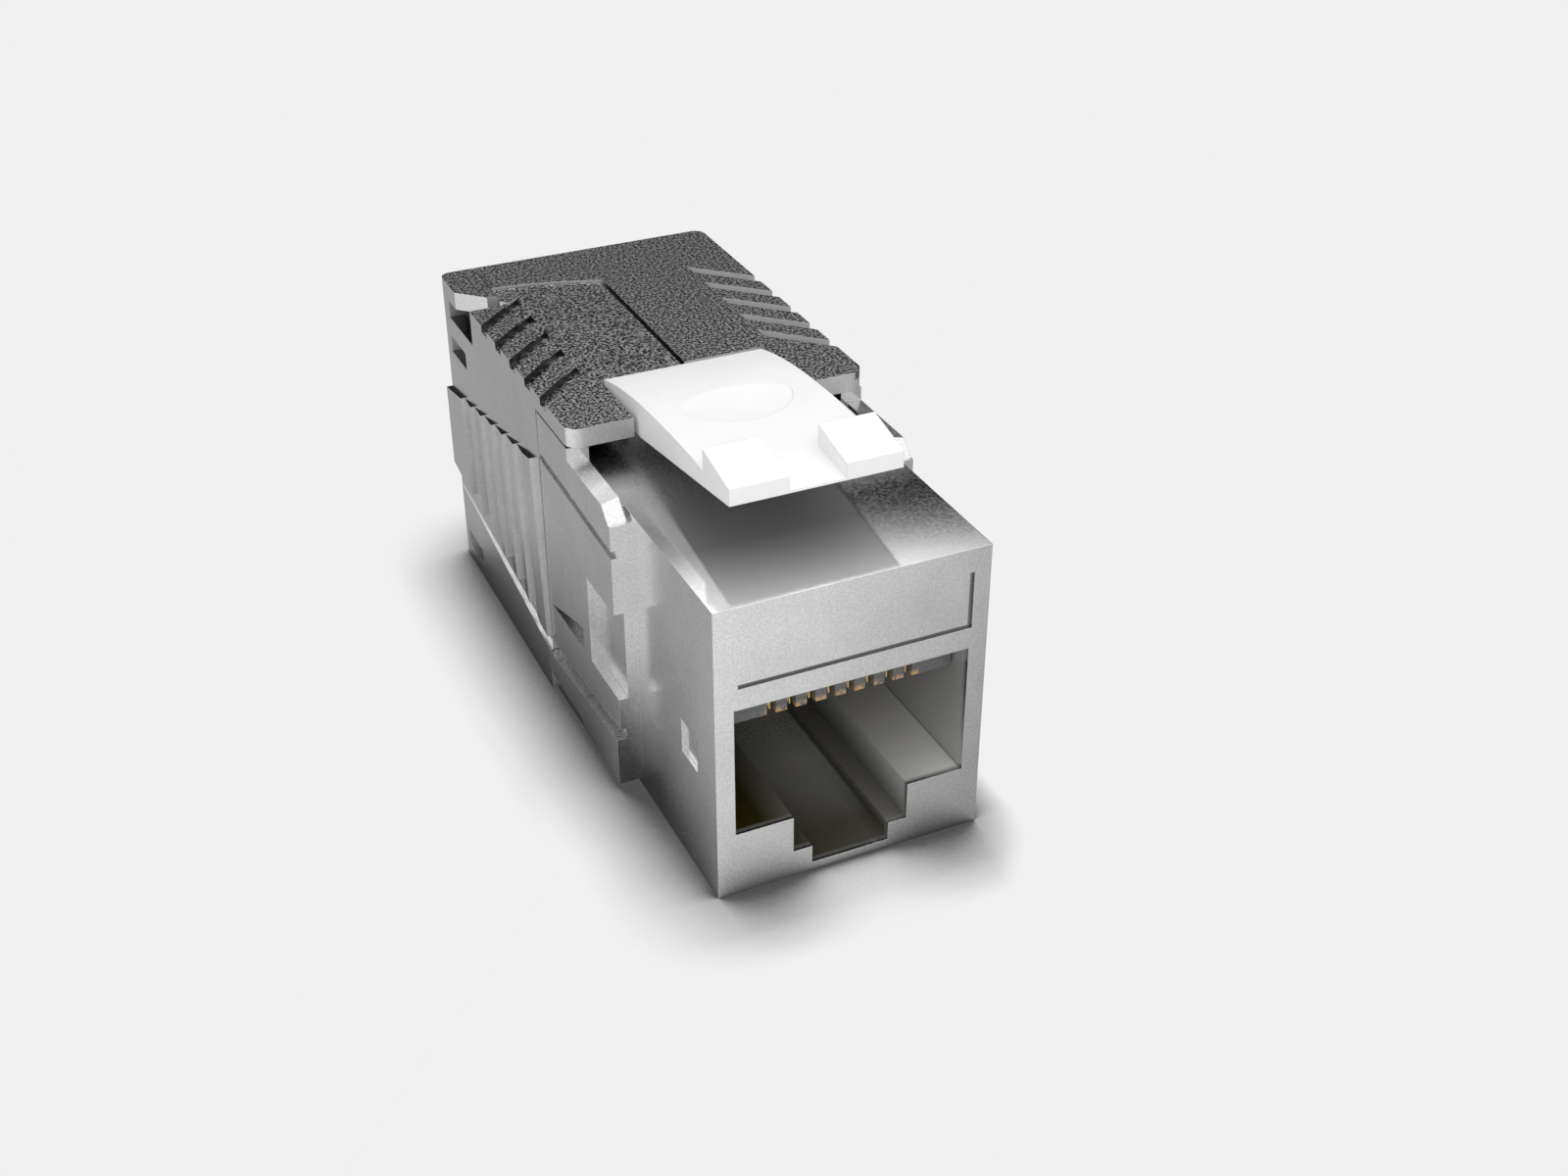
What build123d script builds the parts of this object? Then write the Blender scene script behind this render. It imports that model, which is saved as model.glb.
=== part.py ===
from build123d import *
import os

# Shielded keystone jack with two swinging rear wings.
# Millimetres. X runs across the jack, Y from the port to the cable end, Z up.
# The pieces are drawn with the front face at Y = 0 and moved at the end,
# so that the origin is under the middle of the whole jack, on its flat bottom.

# Main sizes. Cuts run past a face by overshoot
overall_length = 36.7
housing_length = 20.0
front_height = 16.1
joint_gap = 0.1
overshoot = 1.0

# Walls of the front housing
front_wall = 1.2
port_side_wall = 0.95
side_wall = 0.9
top_wall = 1.8
bottom_wall = 1.2

# Port, stepped for the plug and its latch
port_half_width = 6.05
port_top = 10.63
port_depth = 12.6
shoulder_height = 3.54
shoulder_inner = 3.05
step_height = 1.5
step_inner = 2.05
channel_floor = 0.5

# Label field on the front face: an L-shaped groove round a blank area
label_line_rise = 1.37
label_left_margin = 1.17
label_right_margin = 0.85
label_top_margin = 1.28
label_line_width = 0.24
label_line_depth = 0.15

# Small square recess in each side of the nose
side_recess_y = 2.17
side_recess_z = 6.0
side_recess_size = 1.9
side_recess_depth = 0.18

# Catch notches under the nose, for the lower edge of the panel
catch_y = 7.0
catch_length = 2.3
catch_depth = 0.9
catch_width = 3.0
catch_margin = 0.7

# Side flanges of the housing
flange_front = 9.65
flange_step = 1.1
flange_wall = 0.9
flange_bottom = 0.55
arm_inset = 0.14
arm_rise = 0.21
arm_crown = 0.14
arm_nose_drop = 0.71
arm_nose_setback = 0.2
arm_chamfer_length = 1.05
lower_strip_proud = 0.2
lower_strip_front_z = 3.38
lower_strip_rear_z = 2.4
upper_groove_front_drop = 2.51
upper_groove_rear_drop = 1.95
upper_groove_height = 0.42
upper_groove_depth = 0.28
lower_groove_height = 0.6
lower_groove_depth = 0.3

# Recesses in the middle panel of each flange
panel_ledge_z = 5.7
panel_recess_depth = 0.5
panel_recess_end = 0.5
panel_recess_height = 1.43
panel_web = 1.1
panel_pocket_rear = 13.5
panel_pocket_height = 5.0

# Rear wings
plate_step = 2.05
plate_thickness = 1.02
plate_lap = 0.05
left_plate_drop = 0.12
shell_wall = 0.9
shell_floor = 1.0
rear_wall = 1.0
rear_corner_radius = 0.6
seam_gap = 0.16
ear_length = 4.95
rear_kink_z = 11.66
rear_kink_depth = 0.2
rear_kink_margin = 0.6

# Hinges of the wings
corner_radius = 0.77
lug_bottom = 0.2
pin_radius = 0.3
pin_cover = 0.1
pin_press_clearance = 0.02
pin_running_clearance = 0.06
pin_end_gap = 0.05
pin_depth_in_plate = 0.62
pin_depth_in_lug = 0.5
pin_depth_in_flange_top = 1.25
pin_depth_in_flange = 1.2

# Full-width strip at the rear of the top, on the right wing
strip_length = 3.22
strip_gap = 0.05
rear_top_length = 5.8
corner_block_width = 2.0
corner_block_length = 4.4
corner_block_chamfer = 1.45
pry_slot_end = 1.5
pry_slot_length = 4.1
pry_slot_depth = 2.05

# Grips
chevron_count = 5
chevron_start = 2.01
chevron_end = 5.05
chevron_width = 0.9
chevron_reach = 2.94
chevron_run = 2.85
chevron_depth = 0.38
tooth_count = 5
tooth_proud = 0.22
tooth_lean = 0.08
rear_pad_length = 2.73
front_pad_length = 2.37
front_pad_ramp = 1.6
band_top_front_drop = 4.15
band_top_rear_drop = 7.05
band_bottom_front_z = 3.2
band_bottom_rear_z = 6.1
wing_strip_front_z = 2.5
wing_strip_rear_z = 4.95
wing_strip_rear_proud = 0.03

# Release pockets in the side walls
pocket_end = 1.3
pocket_length = 2.8
pocket_height = 1.0
pocket_depth = 0.6
upper_pocket_drop = 4.25
lower_pocket_z = 1.0

# Cable opening in the rear walls, and the ribs that push the wire manager
cable_hole_radius = 4.0
cable_hole_z = 8.9
pusher_rib_thickness = 0.8
pusher_rib_reach = 1.3
pusher_rib_margin = 2.0

# Latch clip. Rises are measured from the top of the nose
clip_half_width = 4.4
clip_side_gap = 0.25
clip_rear_gap = 0.13
clip_foot_half_width = 4.0
clip_foot_radius = 0.74
clip_foot_clearance = 0.06
clip_foot_setback = 2.0
clip_foot_drop = 0.6
clip_neck = 0.7
clip_rear_rise = 2.0
clip_underside_rise = 0.98
clip_heel_length = 2.4
clip_heel_blend = 0.8
clip_heel_blend_rise = 0.04
clip_shoulder_setback = 2.9
clip_shoulder_rise = 2.85
clip_crown_setback = 5.75
clip_crown_rise = 3.03
clip_saddle_setback = 2.0
clip_saddle_rise = 3.09
clip_fall_setback = 0.6
clip_fall_rise = 3.0
clip_tooth_y = 6.95
clip_tooth_length = 3.0
clip_tooth_width = 2.95
clip_tooth_rise = 4.15
clip_nose_rise = 2.65
clip_nose_thickness = 0.12
clip_nose_height = 0.85
clip_dish_radius = 2.9
clip_dish_depth = 0.1
clip_dish_setback = 4.4
clip_dish_rise = 2.97

# Spring contacts and their carrier
contact_count = 8
contact_pitch = 1.02
contact_width = 0.24
contact_thickness = 0.2
contact_run_rise = 1.12
contact_tail_drop = 2.75
contact_tail_row_gap = 1.45
contact_nose_y = 2.0
contact_bend_drop = 3.0
contact_end_y = 8.6
contact_end_drop = 0.4
contact_bend_radius = 0.45
carrier_clearance = 0.15
carrier_rise = 0.37
carrier_rear_wall = 1.3
comb_slot_width = 0.44
comb_slot_height = 1.3
comb_bar_length = 0.95
comb_bar_drop = 1.72

# Circuit board and wire contacts
board_gap = 0.6
board_thickness = 1.2
board_side_gap = 0.2
board_hole_clearance = 0.08
tail_stub = 0.4
block_gap = 0.5
block_side_gap = 0.1
tower_side_gap = 0.6
tower_length = 6.5
tower_height = 4.5
web_length = 4.4
wires_per_row = 4
lower_row_rise = 2.95
upper_row_drop = 2.35
outer_wire_margin = 1.2
wire_slot_width = 1.1
wire_slot_length = 4.6
blade_half_width = 0.9
blade_thickness = 0.4
blade_clearance = 0.05
blade_tail_half_width = 0.25
blade_rear_gap = 0.7
fork_slot_width = 0.3
fork_mouth_width = 0.9
fork_mouth_depth = 0.6
fork_length = 3.6

# Wire manager
manager_gap = 0.1
manager_thickness = 3.3
manager_side_gap = 0.35
manager_bottom_gap = 0.25
manager_top_gap = 0.33
manager_hole_radius = 3.3
manager_post_radius = 0.8
manager_post_clearance = 0.05
manager_post_margin = 1.4
manager_post_length = 2.0
guide_groove_width = 1.3
guide_groove_depth = 1.6

# Places worked out from the sizes above
front_half = port_half_width + port_side_wall
cavity_half_width = front_half - side_wall
cavity_top = front_height - top_wall
label_line_height = port_top + label_line_rise
flange_half_width = front_half + flange_step
flange_outer = flange_half_width + lower_strip_proud
arm_inner = front_half + arm_inset
arm_top = front_height + arm_rise
arm_crest = arm_top + arm_crown
panel_recess_front = panel_pocket_rear + panel_web
shell_half_width = flange_half_width
shell_inner = shell_half_width - shell_wall
shell_top = front_height + plate_step
plate_bottom = shell_top - plate_thickness
shell_front = housing_length + joint_gap
wing_front = housing_length - ear_length
pivot_x = shell_half_width - corner_radius
pivot_y = wing_front + corner_radius
flange_rear_radius = housing_length - pivot_y
wing_front_radius = flange_rear_radius + joint_gap
lug_top = shell_floor
relief_top = lug_top + joint_gap
relief_front = pivot_y - corner_radius - joint_gap
relief_inner = pivot_x - corner_radius - joint_gap
shoulder_top = plate_bottom - joint_gap
shoulder_front = pivot_y - pin_radius - pin_cover
shoulder_inner_face = pivot_x - pin_radius - pin_cover
top_pin_low_end = front_height - pin_depth_in_flange_top
bottom_pin_high_end = relief_top + pin_depth_in_flange
strip_edge_radius = overall_length - strip_length - pivot_y
strip_left_end = shell_half_width - corner_block_width
rear_top_front = overall_length - rear_top_length
corner_block_front = overall_length - corner_block_length
pry_slot_rear = overall_length - pry_slot_end
pocket_rear = overall_length - pocket_end
chevron_inner = shell_half_width - chevron_reach
chevron_rear_tip = overall_length - chevron_end
chevron_pitch = (chevron_rear_tip - housing_length - chevron_start) / (chevron_count - 1)
rear_pad_front = overall_length - rear_pad_length
tooth_run = rear_pad_front - front_pad_ramp - front_pad_length - housing_length
tooth_pitch = tooth_run / tooth_count
clip_notch_half_width = clip_half_width + clip_side_gap
clip_notch_rear = housing_length - plate_lap
clip_rear = clip_notch_rear - clip_rear_gap
clip_axis_y = housing_length - clip_foot_setback
clip_axis_z = front_height - clip_foot_drop
clip_underside = front_height + clip_underside_rise
clip_tooth_top = front_height + clip_tooth_rise
clip_nose_y = clip_tooth_y - clip_tooth_length
clip_nose_bottom = front_height + clip_nose_rise
contact_run_z = port_top + contact_run_rise
carrier_front = front_wall + carrier_clearance
carrier_bottom = port_top + carrier_rise
comb_bar_bottom = port_top - comb_bar_drop
comb_slot_top = carrier_bottom + comb_slot_height
carrier_rear = port_depth + carrier_clearance + carrier_rear_wall
board_half_width = cavity_half_width - board_side_gap
board_front = carrier_rear + board_gap
board_rear = board_front + board_thickness
block_half_width = cavity_half_width - block_side_gap
block_front = board_rear + block_gap
inner_top = cavity_top - carrier_clearance
inner_bottom = bottom_wall + carrier_clearance
tower_half_width = shell_inner - tower_side_gap
tower_rear = housing_length + tower_length
web_rear = housing_length + web_length
lower_row_z = inner_bottom + lower_row_rise
upper_row_z = inner_top - upper_row_drop
middle_row_z = (lower_row_z + upper_row_z) / 2
wire_pitch = (block_half_width - outer_wire_margin) / ((wires_per_row - 1) / 2)
manager_half_width = shell_inner - manager_side_gap
manager_bottom = shell_floor + manager_bottom_gap
manager_top = plate_bottom - manager_top_gap
manager_front = tower_rear + manager_gap
manager_rear = manager_front + manager_thickness
manager_post_x = tower_half_width - manager_post_margin


def block(x0, x1, y0, y1, z0, z1):
    """A box given by the places of its faces."""
    middle = Pos((x0 + x1) / 2, (y0 + y1) / 2, (z0 + z1) / 2)
    return middle * Box(x1 - x0, y1 - y0, z1 - z0)


def side_prism(points, x0, x1):
    """A side view outline in Y and Z, carried across from x0 to x1."""
    face = Plane.YZ.offset(x0) * Polygon(*points, align=None)
    return extrude(face, amount=x1 - x0, dir=(1, 0, 0))


def plan_prism(points, z0, z1):
    """A plan outline in X and Y, carried up from z0 to z1."""
    face = Plane.XY.offset(z0) * Polygon(*points, align=None)
    return extrude(face, amount=z1 - z0, dir=(0, 0, 1))


def front_prism(points, y0, y1):
    """A front view outline in X and Z, carried back from y0 to y1."""
    face = Plane((0, y0, 0), x_dir=(1, 0, 0), z_dir=(0, -1, 0)) * Polygon(*points, align=None)
    return extrude(face, amount=y1 - y0, dir=(0, 1, 0))


def upright(x, y, radius, z0, z1):
    """An upright cylinder."""
    return Pos(x, y, (z0 + z1) / 2) * Cylinder(radius, z1 - z0)


def both_sides(piece):
    """The piece and its mirror image across the middle of the jack."""
    return piece + mirror(piece, Plane.YZ)


# Front housing
def port_cut():
    """The stepped hollow that takes the plug, with its latch channel below."""
    outline = [
        (-port_half_width, port_top),
        (-port_half_width, shoulder_height),
        (-shoulder_inner, shoulder_height),
        (-shoulder_inner, step_height),
        (-step_inner, step_height),
        (-step_inner, channel_floor),
        (step_inner, channel_floor),
        (step_inner, step_height),
        (shoulder_inner, step_height),
        (shoulder_inner, shoulder_height),
        (port_half_width, shoulder_height),
        (port_half_width, port_top),
    ]
    return front_prism(outline, -overshoot, port_depth)


def flange():
    """The right flange: arm with a sloping top, shoulder, panel recesses and grooves."""
    chamfer_rear = flange_front + arm_chamfer_length
    chamfer_slope = arm_nose_drop / (arm_chamfer_length - arm_nose_setback)
    crest_rear = chamfer_rear + arm_crown / chamfer_slope
    nose_z = arm_top - arm_nose_drop
    wall = [
        (flange_front, flange_bottom),
        (housing_length, flange_bottom),
        (housing_length, nose_z),
        (flange_front, nose_z),
    ]
    body = side_prism(wall, front_half - flange_wall, flange_half_width)
    arm = [
        (flange_front + arm_nose_setback, nose_z),
        (housing_length, nose_z),
        (housing_length, arm_crest),
        (crest_rear, arm_crest),
    ]
    body += side_prism(arm, arm_inner, flange_half_width)
    gutter_floor = front_height - arm_inset
    body += block(front_half, arm_inner, chamfer_rear, housing_length, nose_z, gutter_floor)
    slope = arm_crown / (flange_half_width - arm_inner)
    far = flange_half_width + overshoot
    fall = [(arm_inner, arm_crest), (far, arm_crest + overshoot), (far, arm_top - slope * overshoot)]
    body -= front_prism(fall, flange_front, housing_length + overshoot)
    body += block(
        shoulder_inner_face, flange_half_width, shoulder_front, housing_length, nose_z, shoulder_top
    )
    strip = [
        (flange_front, flange_bottom),
        (housing_length, flange_bottom),
        (housing_length, lower_strip_rear_z),
        (flange_front, lower_strip_front_z),
    ]
    body += side_prism(strip, flange_half_width - flange_wall, flange_outer)
    lower_groove = [
        (flange_front - overshoot, lower_strip_front_z),
        (housing_length + overshoot, lower_strip_rear_z),
        (housing_length + overshoot, lower_strip_rear_z + lower_groove_height),
        (flange_front - overshoot, lower_strip_front_z + lower_groove_height),
    ]
    body -= side_prism(lower_groove, flange_half_width - lower_groove_depth, flange_outer + overshoot)
    upper_front = arm_top - upper_groove_front_drop
    upper_rear = arm_top - upper_groove_rear_drop
    upper_groove = [
        (flange_front - overshoot, upper_front),
        (housing_length + overshoot, upper_rear),
        (housing_length + overshoot, upper_rear + upper_groove_height),
        (flange_front - overshoot, upper_front + upper_groove_height),
    ]
    body -= side_prism(upper_groove, flange_half_width - upper_groove_depth, flange_outer + overshoot)
    wedge = [
        (housing_length - panel_recess_end, panel_ledge_z),
        (panel_recess_front, panel_ledge_z + panel_recess_height),
        (panel_recess_front, panel_ledge_z),
    ]
    pocket_top = panel_ledge_z + panel_pocket_height
    pocket = [
        (flange_front - overshoot, panel_ledge_z),
        (panel_pocket_rear, panel_ledge_z),
        (panel_pocket_rear, pocket_top),
        (flange_front - overshoot, pocket_top),
    ]
    for outline in (wedge, pocket):
        body -= side_prism(outline, flange_half_width - panel_recess_depth, flange_outer + overshoot)
    far = housing_length + overshoot
    corner = block(pivot_x, flange_outer + overshoot, pivot_y, far, 0, shell_top)
    corner -= upright(pivot_x, pivot_y, flange_rear_radius, -overshoot, shell_top + overshoot)
    return body - corner


def front_housing():
    """Die-cast front body with the port, flanges and hinge bores."""
    half = front_half
    far = housing_length + overshoot
    wide = cavity_half_width
    body = block(-half, half, 0, housing_length, 0, front_height)
    body += both_sides(flange())
    body -= port_cut()
    low = port_top - overshoot
    body -= block(-port_half_width, port_half_width, front_wall, port_depth, low, cavity_top)
    body -= block(-wide, wide, port_depth, far, bottom_wall, cavity_top)
    outer = flange_outer + overshoot
    relief = block(relief_inner, outer, relief_front, far, -overshoot, relief_top)
    body -= both_sides(relief)
    bore_radius = pin_radius + pin_press_clearance
    bore = upright(pivot_x, pivot_y, bore_radius, 0, bottom_pin_high_end + pin_end_gap)
    bore += upright(
        pivot_x, pivot_y, bore_radius, top_pin_low_end - pin_end_gap, shoulder_top + overshoot
    )
    body -= both_sides(bore)
    side_recess = block(
        half - side_recess_depth,
        half + overshoot,
        side_recess_y,
        side_recess_y + side_recess_size,
        side_recess_z,
        side_recess_z + side_recess_size,
    )
    body -= both_sides(side_recess)
    outer = half - catch_margin
    catch = block(
        outer - catch_width, outer, catch_y, catch_y + catch_length, -overshoot, catch_depth
    )
    body -= both_sides(catch)
    left = label_left_margin - half
    right = half - label_right_margin
    low = label_line_height - label_line_width
    high = front_height - label_top_margin
    body -= block(left, right, -overshoot, label_line_depth, low, label_line_height)
    body -= block(right - label_line_width, right, -overshoot, label_line_depth, low, high)
    seat_radius = clip_foot_radius + clip_foot_clearance
    seat_length = 2 * (clip_foot_half_width + clip_foot_clearance)
    seat = Pos(0, clip_axis_y, clip_axis_z) * Rot(0, 90, 0) * Cylinder(seat_radius, seat_length)
    return body - seat


# Rear wings, drawn on the right side and mirrored for the left
def wing_shell():
    """Top plate, side wall, bottom plate and half rear wall of one wing."""
    inner = seam_gap / 2
    outline = [
        (inner, shell_front),
        (shell_half_width, shell_front),
        (shell_half_width, overall_length),
        (inner, overall_length),
    ]
    shell = plan_prism(outline, 0, shell_top)
    rear_edges = shell.edges().filter_by(Axis.Z).sort_by(Axis.Y)[-2:]
    shell = fillet(rear_edges.sort_by(Axis.X)[-1:], rear_corner_radius)
    shell -= block(
        inner - overshoot,
        shell_inner,
        shell_front - overshoot,
        overall_length - rear_wall,
        shell_floor,
        plate_bottom,
    )
    shell -= block(
        cable_hole_radius + rear_kink_margin,
        shell_half_width + overshoot,
        overall_length - rear_kink_depth,
        overall_length + overshoot,
        -overshoot,
        rear_kink_z,
    )
    ear = block(
        clip_notch_half_width, shell_half_width, wing_front, shell_front, plate_bottom, shell_top
    )
    ear_corner = ear.edges().filter_by(Axis.Z).sort_by(Axis.Y)[:2].sort_by(Axis.X)[-1:]
    ear = fillet(ear_corner, corner_radius)
    wide = clip_notch_half_width + corner_radius
    back = block(inner, wide, clip_notch_rear, shell_front, plate_bottom, shell_top)
    return shell + ear + back


def wing_side_grip():
    """Leaning saw teeth with a flat pad at each end, and the strip below."""
    valley = shell_half_width
    tip = valley + tooth_proud
    buried = valley - shell_wall / 2
    outline = [(buried, overall_length), (tip, overall_length), (tip, rear_pad_front)]
    foot = rear_pad_front
    for _ in range(tooth_count):
        outline += [(valley, foot), (tip, foot - tooth_pitch)]
        foot -= tooth_pitch
    front = housing_length
    outline += [(valley, foot), (tip, foot - front_pad_ramp), (tip, front), (buried, front)]
    top_front = shell_top - band_top_front_drop
    top_rear = shell_top - band_top_rear_drop
    lean = tooth_lean * top_front
    lean_outline = [(x, y - lean if front < y < overall_length else y) for x, y in outline]
    face = Polygon(*lean_outline, align=None)
    band = extrude(face, amount=shell_top, dir=(0, tooth_lean, 1))
    limits = [
        (front, band_bottom_front_z),
        (overall_length, band_bottom_rear_z),
        (overall_length, top_rear),
        (front, top_front),
    ]
    band = band & side_prism(limits, 0, flange_outer + overshoot)
    strip_plan = [
        (buried, front),
        (valley + lower_strip_proud, front),
        (valley + wing_strip_rear_proud, overall_length - rear_corner_radius),
        (buried, overall_length - rear_corner_radius),
    ]
    strip_side = [
        (front, 0),
        (overall_length, 0),
        (overall_length, wing_strip_rear_z),
        (front, wing_strip_front_z),
    ]
    strip = plan_prism(strip_plan, 0, shell_top) & side_prism(strip_side, 0, flange_outer + overshoot)
    return band + strip


def chevron_cuts():
    """Slanting finger grooves in the top plate."""
    cuts = []
    for number in range(chevron_count):
        tip = chevron_rear_tip - number * chevron_pitch
        outer = shell_half_width + overshoot
        edge = tip - chevron_run * (outer - chevron_inner) / chevron_reach
        outline = [
            (chevron_inner, tip),
            (outer, edge),
            (outer, edge - chevron_width),
            (chevron_inner, tip - chevron_width),
        ]
        cuts.append(plan_prism(outline, shell_top - chevron_depth, shell_top + overshoot))
    return cuts


def wing_body():
    """Everything that the two wings share."""
    body = wing_shell() + wing_side_grip()
    for cut in chevron_cuts():
        body -= cut
    for low in (shell_top - upper_pocket_drop, lower_pocket_z):
        body -= block(
            shell_half_width - pocket_depth,
            flange_outer + overshoot,
            pocket_rear - pocket_length,
            pocket_rear,
            low,
            low + pocket_height,
        )
    hole = Cylinder(cable_hole_radius, 2 * (rear_wall + overshoot))
    body -= Pos(0, overall_length, cable_hole_z) * Rot(90, 0, 0) * hole
    body -= upright(pivot_x, pivot_y, wing_front_radius, lug_top, plate_bottom)
    rib_front = manager_rear + manager_gap
    body += block(
        shell_inner - pusher_rib_reach,
        shell_half_width - shell_wall / 2,
        rib_front,
        rib_front + pusher_rib_thickness,
        manager_bottom + pusher_rib_margin,
        manager_top - pusher_rib_margin,
    )
    lug = upright(pivot_x, pivot_y, corner_radius, lug_bottom, lug_top)
    lug += block(
        pivot_x - corner_radius,
        pivot_x + corner_radius,
        pivot_y,
        shell_front + corner_radius,
        lug_bottom,
        lug_top,
    )
    hole_radius = pin_radius + pin_running_clearance
    low_end = lug_top - pin_depth_in_lug - pin_end_gap
    high_end = plate_bottom + pin_depth_in_plate + pin_end_gap
    return body + lug - upright(pivot_x, pivot_y, hole_radius, low_end, high_end)


def left_wing():
    """Left wing, drawn on the right side: its plate stops short of the rear strip."""
    body = wing_body()
    far = overall_length + overshoot
    high = shell_top + overshoot
    outer = shell_half_width + overshoot
    left_end = strip_left_end
    low = plate_bottom - strip_gap
    swing = upright(pivot_x, pivot_y, strip_edge_radius, low, high)
    body -= block(-overshoot, left_end, rear_top_front, far, low, high) - swing
    front = shell_front - overshoot
    body -= block(-overshoot, left_end, front, far, shell_top - left_plate_drop, high)
    pry_bottom = shell_top - pry_slot_depth
    body -= block(left_end, outer, rear_top_front, corner_block_front, pry_bottom, high)
    pry_front = pry_slot_rear - pry_slot_length
    body -= block(left_end, outer, pry_front, pry_slot_rear, pry_bottom, plate_bottom)
    chamfer = corner_block_chamfer + overshoot
    corner = [
        (outer, corner_block_front - overshoot),
        (outer, corner_block_front + chamfer),
        (shell_half_width - chamfer, corner_block_front - overshoot),
    ]
    body -= plan_prism(corner, plate_bottom, high)
    return mirror(body, Plane.YZ)


def right_wing():
    """Right wing with the strip that reaches across the rear of the top."""
    strip = block(
        strip_gap - strip_left_end,
        seam_gap,
        rear_top_front,
        overall_length,
        plate_bottom,
        shell_top,
    )
    radius = strip_edge_radius + strip_gap
    low = plate_bottom - overshoot
    strip -= upright(-pivot_x, pivot_y, radius, low, shell_top + overshoot)
    return wing_body() + strip


def top_hinge_pin():
    """Short steel pin from the shoulder of the housing into the top plate of a wing."""
    return upright(pivot_x, pivot_y, pin_radius, top_pin_low_end, plate_bottom + pin_depth_in_plate)


def bottom_hinge_pin():
    """Short steel pin from the lug of a wing into the flange above it."""
    return upright(pivot_x, pivot_y, pin_radius, lug_top - pin_depth_in_lug, bottom_pin_high_end)


# Latch clip
def clip_tongue():
    """Rising tongue: a curved top line over a straight, sloping underside."""
    nose = (clip_nose_y, clip_nose_bottom + clip_nose_thickness)
    rear = (clip_rear, front_height + clip_rear_rise)
    heel_y = clip_axis_y - clip_heel_length
    top_line = Spline(
        rear,
        (clip_axis_y - clip_shoulder_setback, front_height + clip_shoulder_rise),
        (clip_axis_y - clip_crown_setback, front_height + clip_crown_rise),
        (clip_tooth_y + clip_saddle_setback, front_height + clip_saddle_rise),
        (clip_tooth_y - clip_fall_setback, front_height + clip_fall_rise),
        nose,
    )
    lower = Polyline(
        nose,
        (clip_nose_y, clip_nose_bottom),
        (heel_y - clip_heel_blend, clip_underside + clip_heel_blend_rise),
        (heel_y, clip_underside),
        (clip_rear, clip_underside),
        rear,
    )
    start = Plane.YZ.offset(-clip_half_width)
    return extrude(start * make_face(top_line + lower), amount=2 * clip_half_width, dir=(1, 0, 0))


def latch_clip():
    """Plastic latch: the tongue with two teeth, a thumb dish and a round foot."""
    tooth_outline = [
        (clip_tooth_y, clip_tooth_top),
        (clip_tooth_y, clip_nose_bottom),
        (clip_nose_y, clip_nose_bottom),
        (clip_nose_y, clip_nose_bottom + clip_nose_height),
    ]
    tooth = side_prism(tooth_outline, clip_half_width - clip_tooth_width, clip_half_width)
    body = clip_tongue() + both_sides(tooth)
    dish_y = clip_axis_y - clip_dish_setback
    dish_sphere = (clip_dish_radius**2 + clip_dish_depth**2) / (2 * clip_dish_depth)
    dish_centre = front_height + clip_dish_rise - clip_dish_depth + dish_sphere
    dish = Pos(0, dish_y, dish_centre) * Sphere(dish_sphere)
    rim = upright(0, dish_y, clip_dish_radius + clip_dish_depth, clip_underside, clip_tooth_top)
    body -= dish & rim
    foot = Cylinder(clip_foot_radius, 2 * clip_foot_half_width)
    neck = block(
        -clip_foot_half_width,
        clip_foot_half_width,
        clip_axis_y - clip_neck / 2,
        clip_axis_y + clip_neck / 2,
        clip_axis_z,
        clip_underside + clip_neck,
    )
    return body + Pos(0, clip_axis_y, clip_axis_z) * Rot(0, 90, 0) * foot + neck


# Contacts and inner pieces
def contact_x(number):
    """Place of a spring contact across the port."""
    return (number - (contact_count - 1) / 2) * contact_pitch


def contact_tail_z(number):
    """Height of a soldered tail: neighbours are staggered in two rows."""
    return contact_run_z - contact_tail_drop - number % 2 * contact_tail_row_gap


def spring_contact(number):
    """Gold-plated wire: soldered tail, straight run, front bend and free tongue."""
    tail_z = contact_tail_z(number)
    bend_y = port_depth + carrier_rear_wall / 2
    route = [
        (board_rear + tail_stub, tail_z),
        (bend_y, tail_z),
        (bend_y, contact_run_z),
        (contact_nose_y, contact_run_z),
        (contact_nose_y, contact_run_z - contact_bend_drop),
        (contact_end_y, contact_run_z - contact_bend_drop - contact_end_drop),
    ]
    path = FilletPolyline(*route, radius=contact_bend_radius)
    face = trace(path, contact_thickness)
    start = contact_x(number) - contact_width / 2
    return extrude(Plane.YZ.offset(start) * face, amount=contact_width, dir=(1, 0, 0))


def contact_carrier():
    """Plastic insert with a comb for the spring contacts, deeper behind the front wall."""
    half = port_half_width - carrier_clearance
    back = port_depth + carrier_clearance
    body = block(-half, half, carrier_front, carrier_rear, carrier_bottom, inner_top)
    bar_rear = carrier_front + comb_bar_length
    body += block(-half, half, carrier_front, bar_rear, comb_bar_bottom, inner_top)
    body += block(-half, half, back, carrier_rear, inner_bottom, inner_top)
    slot = comb_slot_width / 2
    low = min(contact_tail_z(0), contact_tail_z(1)) - contact_thickness
    for number in range(contact_count):
        x = contact_x(number)
        body -= block(x - slot, x + slot, 0, back, 0, comb_slot_top)
        body -= block(x - slot, x + slot, back, carrier_rear + overshoot, low, comb_slot_top)
    return body


def wire_x(column):
    """Place of a wire across the block."""
    return (column - (wires_per_row - 1) / 2) * wire_pitch


def blade_places():
    """Places of the wire contacts, the lower row first."""
    rows = (lower_row_z, upper_row_z)
    return [(wire_x(column), row) for row in rows for column in range(wires_per_row)]


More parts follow.
